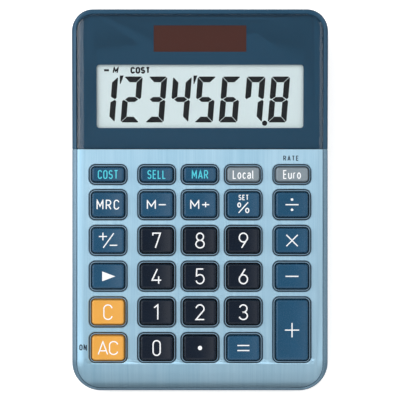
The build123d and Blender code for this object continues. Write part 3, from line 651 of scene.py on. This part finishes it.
# letter height, width and spacing as shares of it, and stroke, all to the middles of the strokes
lettering = {
    "function": {"height": 3.15, "stretch": 0.75, "spacing": 0.28, "stroke": 0.42},
    "memory": {"height": 3.5, "stretch": 0.95, "spacing": 0.39, "stroke": 0.45},
    "memorySign": {"height": 3.25, "stretch": 1.42, "spacing": 0.41, "stroke": 0.45},
    "small": {"height": 1.85, "stretch": 0.85, "spacing": 0.36, "stroke": 0.33},
    "digit": {"height": 5.85, "stretch": 1.0, "spacing": 0.2, "stroke": 0.5},
    "clear": {"height": 5.75, "stretch": 1.05, "spacing": 0.2, "stroke": 0.45},
    "allClear": {"height": 5.1, "stretch": 1.18, "spacing": 0.15, "stroke": 0.45},
    "rate": {"height": 1.75, "stretch": 0.85, "spacing": 0.5, "stroke": 0.34},
    "on": {"height": 1.95, "stretch": 0.85, "spacing": 0.42, "stroke": 0.45},
    "displayM": {"height": 1.95, "stretch": 1.15, "spacing": 0.2, "stroke": 0.55, "lean": 12},
    "displayWord": {"height": 2.0, "stretch": 1.1, "spacing": 0.42, "stroke": 0.7},
}
# what each key is made of and carries: finish, ink, word and its lettering
keyList = {
    "key_cost": ("blue", "turquoise", "COST", "function"),
    "key_sell": ("blue", "turquoise", "SELL", "function"),
    "key_margin": ("blue", "turquoise", "MAR", "function"),
    "key_local": ("grey", "white", "Local", "function"),
    "key_euro": ("grey", "white", "Euro", "function"),
    "key_memory_recall": ("blue", "white", "MRC", "memory"),
    "key_memory_minus": ("blue", "white", "M-", "memorySign"),
    "key_memory_plus": ("blue", "white", "M+", "memorySign"),
    "key_percent": ("blue", "white", "", ""),
    "key_divide": ("blue", "white", "", ""),
    "key_sign": ("blue", "white", "", ""),
    "key_7": ("dark", "white", "7", "digit"),
    "key_8": ("dark", "white", "8", "digit"),
    "key_9": ("dark", "white", "9", "digit"),
    "key_multiply": ("blue", "white", "", ""),
    "key_step_back": ("blue", "white", "", ""),
    "key_4": ("dark", "white", "4", "digit"),
    "key_5": ("dark", "white", "5", "digit"),
    "key_6": ("dark", "white", "6", "digit"),
    "key_minus": ("blue", "white", "", ""),
    "key_clear": ("orange", "white", "C", "clear"),
    "key_1": ("dark", "white", "1", "digit"),
    "key_2": ("dark", "white", "2", "digit"),
    "key_3": ("dark", "white", "3", "digit"),
    "key_all_clear": ("orange", "white", "AC", "allClear"),
    "key_0": ("dark", "white", "0", "digit"),
    "key_point": ("dark", "white", "", ""),
    "key_equals": ("blue", "white", "", ""),
    "key_plus": ("blue", "white", "", ""),
}
# half lengths of the signs' arms, the divide sign's dots, half the gap of the equals sign
signs = {
    "stroke": 0.44,
    "minus": 2.6,
    "plus": 2.85,
    "multiply": 2.25,
    "equals": 2.4,
    "equalsGap": 1.0,
    "dot": 0.52,
    "dotHeight": 2.05,
    "point": 0.85,
}


# the signs that are not letters, as strokes and filled outlines in millimetres from the key's middle
def keySigns(name):
    lines, fills, words = [], [], []
    if name in ("key_minus", "key_divide"):
        lines.append(run((-signs["minus"], 0), (signs["minus"], 0)))
    if name == "key_plus":
        a = signs["plus"]
        lines += [run((-a, 0), (a, 0)), run((0, -a), (0, a))]
    if name == "key_divide":
        fills += [disc(0, side * signs["dotHeight"], signs["dot"]) for side in (1, -1)]
    if name == "key_multiply":
        a = signs["multiply"]
        lines += [run((-a, -a), (a, a)), run((-a, a), (a, -a))]
    if name == "key_equals":
        a, gap = signs["equals"], signs["equalsGap"]
        lines += [run((-a, side * gap), (a, side * gap)) for side in (1, -1)]
    if name == "key_point":
        fills.append(disc(0, 0, signs["point"]))
    if name == "key_step_back":
        fills.append(run((-2.3, 1.95), (-2.3, -1.95), (2.9, 0)))
    if name == "key_sign":
        lines += [run((-3.6, 1.6), (-0.4, 1.6)), run((-2.0, 0.1), (-2.0, 3.1))]
        lines += [run((-1.9, -2.9), (2.3, 2.9)), run((0.7, -1.9), (3.7, -1.9))]
    if name == "key_percent":
        words = wordStrokes("SET", lettering["small"], (0.1, 2.87))
        lines.append(run((-1.9, -3.25), (1.9, 0.95)))
        lines += [arc(-1.65, -0.1, 0.55, 0.82, 0, 360, 20), arc(1.55, -2.3, 0.62, 0.85, 0, 360, 20)]
    return words + [(line, signs["stroke"]) for line in lines], fills


inkLift = 0.02  # of every print over what it is printed on


# lays flat points just above a key's dish
def dishPoints(flat, u0, v0, halfWidth):
    z = dishHeight(flat[:, 0], halfWidth) + inkLift
    return onKeypad(np.column_stack([flat[:, 0] + u0, flat[:, 1] + v0, z]))


# a key's box is its flange's: from it come the key's middle and the size of its opening in the plate
flangeMiddle = (keyShape["flangeTop"] + keyShape["bottom"]) / 2
flangeThickness = keyShape["flangeTop"] - keyShape["bottom"]
openingMargin = 2 * (keyShape["shrink"] - keyShape["flange"])
for name, (finish, ink, word, style) in keyList.items():
    low, high = (1000 * np.array(corner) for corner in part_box(name))
    u0, centreY = (low + high)[:2] / 2
    v0 = (centreY + flangeMiddle * math.sin(keySlope)) / math.cos(keySlope)
    flangeHeight = (high[1] - low[1] - flangeThickness * math.sin(keySlope)) / math.cos(keySlope)
    width, height = high[0] - low[0] + openingMargin, flangeHeight + openingMargin
    points, faces = keySkin(width, height)
    points[:, :2] += (u0, v0)
    label, body, slot = name.removeprefix("key_"), name + "_body", "key_" + finish
    cap = makePiece("cap_" + label, onKeypad(points), faces, keyFinishes[finish], body)
    cap.data.set_sharp_from_angle(angle=math.radians(keyShape["crease"]))
    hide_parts(name)
    strokes, fills = keySigns(name)
    if word:
        strokes += wordStrokes(word, lettering[style])
    flat, faces = inkShapes(strokes, fills)
    laid = dishPoints(flat, u0, v0, width / 2 - keyShape["shrink"])
    makePiece("legend_" + label, laid, faces, inkFinishes[ink], body, False)


print("plate prints")
plateWords = {"rate": ("RATE", (36.25, 16.8)), "on": ("ON", (-46.6, -58.6))}
for name, (word, centre) in plateWords.items():
    flat, faces = inkShapes(wordStrokes(word, lettering[name], centre))
    height = inkLift - crownDrop(flat[:, 0])
    makePiece("print_" + name, onKeypad(np.column_stack([flat, height])), faces, inkFinishes["navy"],
              "case", False)


print("display")
display = {
    "centre": (0.0, 20.9),
    "number": "12345678",
    "pitch": 9.8,
    "firstDigit": -37.1,
    "digitWidth": 7.45,
    "digitHeight": 18.3,
    "segment": 2.28,
    "middleSegment": 1.98,
    "cut": 0.12,
    "corner": 0.26,
    "lean": 4.6,
    "layer": -2.78,  # on the rear glass, under the front one
    "digitMiddle": -1.25,
    "point": (25.8, -10.7),
    "pointRadius": 1.05,
    "wedges": (-32.0, -2.6),  # left edges of the two thousands marks
    "wedge": {"low": 5.0, "high": 8.3, "lowWidth": 0.35, "highWidth": 1.55},
    "signRow": 10.4,
    "minus": {"left": -38.3, "right": -36.3, "stroke": 0.85},
    "memory": -33.65,
    "word": -23.8,
}
# the bars of each digit: a on top, then b to f clockwise, and g in the middle
digitSegments = {
    "0": "abcdef", "1": "bc", "2": "abged", "3": "abgcd", "4": "fgbc",
    "5": "afgcd", "6": "afgedc", "7": "fabc", "8": "abcdefg", "9": "abcdfg",
}


# the seven bars of a digit: the outer six are cut at the mitres and a little off the digit's corners, and
# the middle one is six-sided. The bar above right is drawn, and mirrored for the other three uprights
def segmentOutlines(width, height, thick, middle, cut, corner):
    a, b, c, t, m, e = width / 2, height / 2, cut, thick, middle / 2, corner
    upper = run((a, b - c - 2 * e), (a - e, b - c - e), (a - t, b - t - c), (a - t, m + c),
                (a - m * 0.6, c), (a, m * 0.7))
    top = run((-a + c + 2 * e, b), (a - c - 2 * e, b), (a - c - e, b - e), (a - t - c, b - t),
              (-a + t + c, b - t), (-a + c + e, b - e))
    centre = run((-a + m + c, 0), (-a + t + c, m), (a - t - c, m), (a - m - c, 0), (a - t - c, -m),
                 (-a + t + c, -m))
    over, across = np.array((1, -1)), np.array((-1, 1))
    return {"a": top, "b": upper, "c": (upper * over)[::-1], "d": (top * over)[::-1],
            "e": upper * over * across, "f": (upper * across)[::-1], "g": centre}


bars = segmentOutlines(display["digitWidth"], display["digitHeight"], display["segment"],
                       display["middleSegment"], display["cut"], display["corner"])
outlines = []
leaning = math.tan(math.radians(display["lean"]))
for place, digit in enumerate(display["number"]):
    shiftX = display["firstDigit"] + place * display["pitch"]
    for bar in digitSegments[digit]:
        outline = bars[bar].copy()
        outline[:, 0] += outline[:, 1] * leaning + shiftX
        outline[:, 1] += display["digitMiddle"]
        outlines.append(outline)
wedge, minus, row = display["wedge"], display["minus"], display["signRow"]
for x in display["wedges"]:
    outlines.append(run((x, wedge["low"]), (x + wedge["lowWidth"], wedge["low"]),
                        (x + wedge["highWidth"], wedge["high"]), (x, wedge["high"])))
outlines.append(disc(*display["point"], display["pointRadius"]))
signStrokes = [(run((minus["left"], row), (minus["right"], row)), minus["stroke"])]
signStrokes += wordStrokes("M", lettering["displayM"], (display["memory"], row))
signStrokes += wordStrokes("COST", lettering["displayWord"], (display["word"], row))
flat, faces = inkShapes(signStrokes, outlines)
flat += np.asarray(display["centre"])
segments = onDisplay(np.column_stack([flat, np.full(len(flat), display["layer"])]))
makePiece("display_segments", segments, faces, inkFinishes["segment"], "case", False)


print("stage")
studio = {
    "floorSize": 4.0,
    "floorGlow": 0.5,
    "lens": 200.0,
    "sensor": 36.0,
    "farEnd": 20.0,
    "frameHeight": 159.4,  # millimetres of the keypad plane from the view's bottom to its top
    "middleV": 0.16,
    "world": 0.2,
}
floor = bpy.data.meshes.new("floor")
half = studio["floorSize"] / 2
corners = [(-half, -half, 0), (half, -half, 0), (half, half, 0), (-half, half, 0)]
floor.from_pydata(corners, [], [(0, 1, 2, 3)])
floorPiece = bpy.data.objects.new("floor", floor)
bpy.context.scene.collection.objects.link(floorPiece)
# white paper over a lit table: matt, with the faintest clouds 300 mm wide and hardly a shadow
paper, paperTree, paperOut, paperPlace = newMaterial("backlitPaper")
cloud = addGrain(paperTree, paperPlace, 300.0, detail=1.0)
tone = addBlend(paperTree, addRange(paperTree, cloud, 0, 1), hexColour("#FBFBFB"), hexColour("#F8F8F8"))
addShader(paperTree, paperOut, {"Roughness": 0.9, "Specular IOR Level": 0.1,
                                "Emission Strength": studio["floorGlow"],
                                "Emission Color": (1, 1, 1, 1)}, tone)
floor.materials.append(paper)
floorPiece.visible_glossy = False  # so that the case mirrors the dark studio and not the table

world = bpy.data.worlds.new("studioWorld")
world.use_nodes = True
background = world.node_tree.nodes["Background"]
background.inputs["Color"].default_value = (0.94, 0.97, 1.0, 1.0)
background.inputs["Strength"].default_value = studio["world"]
bpy.context.scene.world = world

keyNormal = np.array([0, -math.sin(keySlope), math.cos(keySlope)])
aim = onKeypad([(0, studio["middleV"], 0)])[0] * 0.001


# a softbox aimed at the keypad: place in metres along u, v and w of the keypad, size and watts. Its sides
# lie along u and v
def softbox(name, place, size, power):
    lamp = bpy.data.lights.new(name, "AREA")
    lamp.shape = "RECTANGLE"
    lamp.size, lamp.size_y = size
    lamp.energy = power
    light = bpy.data.objects.new(name, lamp)
    bpy.context.scene.collection.objects.link(light)
    spot = onKeypad([np.asarray(place) * 1000])[0] * 0.001
    away = (spot - aim) / np.linalg.norm(spot - aim)
    side = np.cross((0, math.cos(keySlope), math.sin(keySlope)), away)
    side /= np.linalg.norm(side)
    axes = np.stack([side, np.cross(away, side), away], 1)
    light.location = spot
    light.rotation_euler = Matrix(axes.tolist()).to_euler()


lights = {
    "overheadSoftbox": ((-0.43, 0.25, 1.5), (0.5, 1.1), 2.4),  # shines in the right half of every dish
    "leftSoftbox": ((-0.95, 0.36, 0.86), (1.1, 1.1), 11.2),  # the main light
    "rightSoftbox": ((0.95, 0.36, 0.86), (1.1, 1.1), 5.6),
    "rearSoftbox": ((0.0, 0.9, 1.0), (1.8, 0.8), 3.8),
    "frontSoftbox": ((0.0, -0.77, 1.29), (1.8, 1.0), 4.8),  # these two light the plate's bent front
    "lowFrontSoftbox": ((0.0, -1.1, 0.47), (1.8, 0.75), 2.5),
}
for name, (place, size, power) in lights.items():
    softbox(name, place, size, power)

lens = bpy.data.cameras.new("camera")
lens.lens = studio["lens"]
lens.sensor_width = studio["sensor"]
lens.clip_end = studio["farEnd"]
distance = studio["frameHeight"] * 0.001 * studio["lens"] / studio["sensor"]
camera = bpy.data.objects.new("camera", lens)
bpy.context.scene.collection.objects.link(camera)
camera.location = aim + keyNormal * distance
camera.rotation_euler = (keySlope, 0, 0)
bpy.context.scene.camera = camera
bpy.context.scene.view_settings.view_transform = "Standard"
